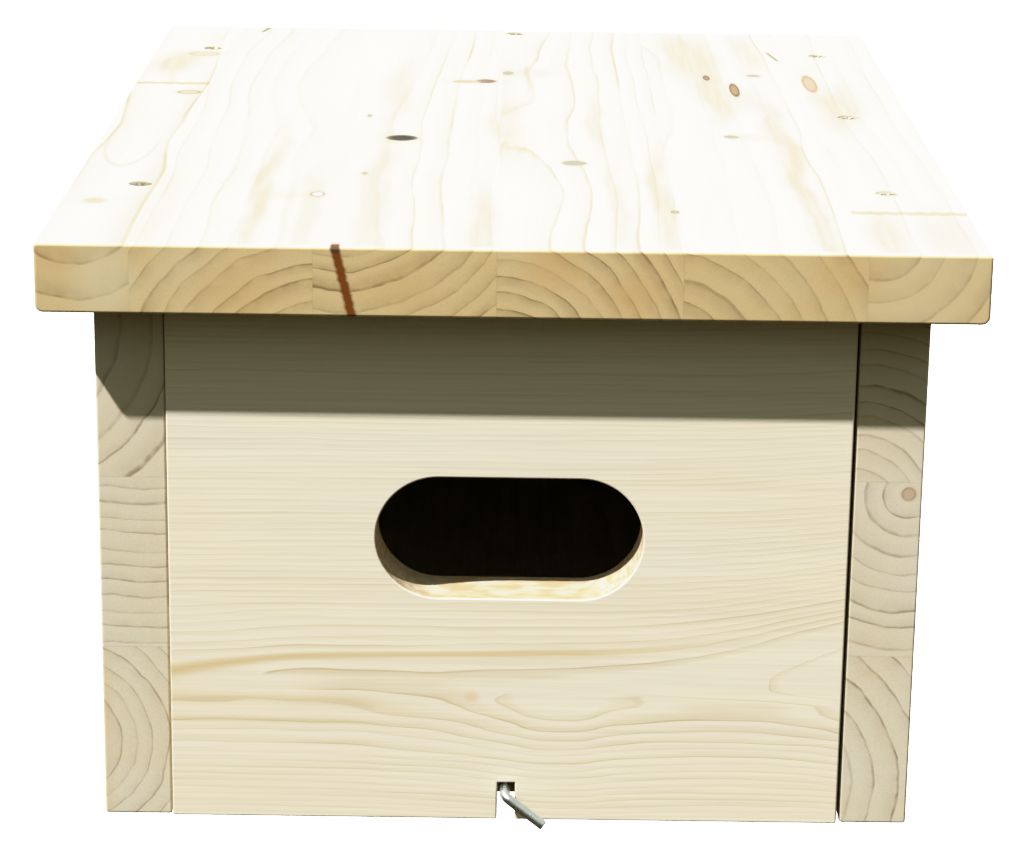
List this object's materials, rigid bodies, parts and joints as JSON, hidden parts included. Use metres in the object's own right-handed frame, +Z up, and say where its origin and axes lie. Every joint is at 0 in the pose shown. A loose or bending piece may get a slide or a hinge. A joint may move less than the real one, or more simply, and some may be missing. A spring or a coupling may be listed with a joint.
{
  "type": "birdhouse",
  "caption": "Long, low wooden nest box for swifts: slot entrance, flat overhanging roof, and a front panel that swings up and is held shut by a bent screw hook.",
  "frame": {"origin": "under the middle of the roof board's outline, on the plane that the box stands on", "axes": "+X to the right seen from the front, +Y from the entrance to the back, +Z up"},
  "size_m": [0.242, 0.33, 0.161],
  "materials": {
    "spruce_roof": "planed, edge-glued spruce, bare",
    "spruce_sides": "planed, edge-glued spruce, bare, end grain at the front",
    "spruce_front": "planed spruce, bare, grain level",
    "zinc_screws": "zinc-plated, dull",
    "zinc_hook": "bright zinc-plated wire"
  },
  "bodies": {
    "box": {"roof_board": "spruce_roof", "side_board_left": "spruce_sides", "side_board_right": "spruce_sides", "back_panel": "spruce_sides", "floor_board": "spruce_sides", "roof_screw_left_front": "zinc_screws", "roof_screw_left_back": "zinc_screws", "floor_screw_left_front": "zinc_screws", "floor_screw_left_middle": "zinc_screws", "floor_screw_left_back": "zinc_screws", "back_screw_left_lower": "zinc_screws", "back_screw_left_upper": "zinc_screws", "roof_screw_right_front": "zinc_screws", "roof_screw_right_middle": "zinc_screws", "roof_screw_right_back": "zinc_screws", "floor_screw_right_front": "zinc_screws", "floor_screw_right_middle": "zinc_screws", "floor_screw_right_back": "zinc_screws", "back_screw_right_lower": "zinc_screws", "back_screw_right_upper": "zinc_screws", "roof_screw_rear": "zinc_screws"},
    "door": {"front_panel": "spruce_front", "pivot_screw_left": "zinc_screws", "pivot_screw_right": "zinc_screws"},
    "hook": {"lock_hook": "zinc_hook"}
  },
  "joints": [
    {"name": "door_swing", "type": "hinge", "parent": "box", "child": "door", "pos_m": [0, -0.1428, 0.123], "axis": [-1, 0, 0], "range_deg": [0, 110]},
    {"name": "hook_turn", "type": "hinge", "parent": "box", "child": "hook", "pos_m": [-0.0003, -0.1334, 0.0087], "axis": [0, 1, 0], "range_deg": [-124, 56]}
  ]
}
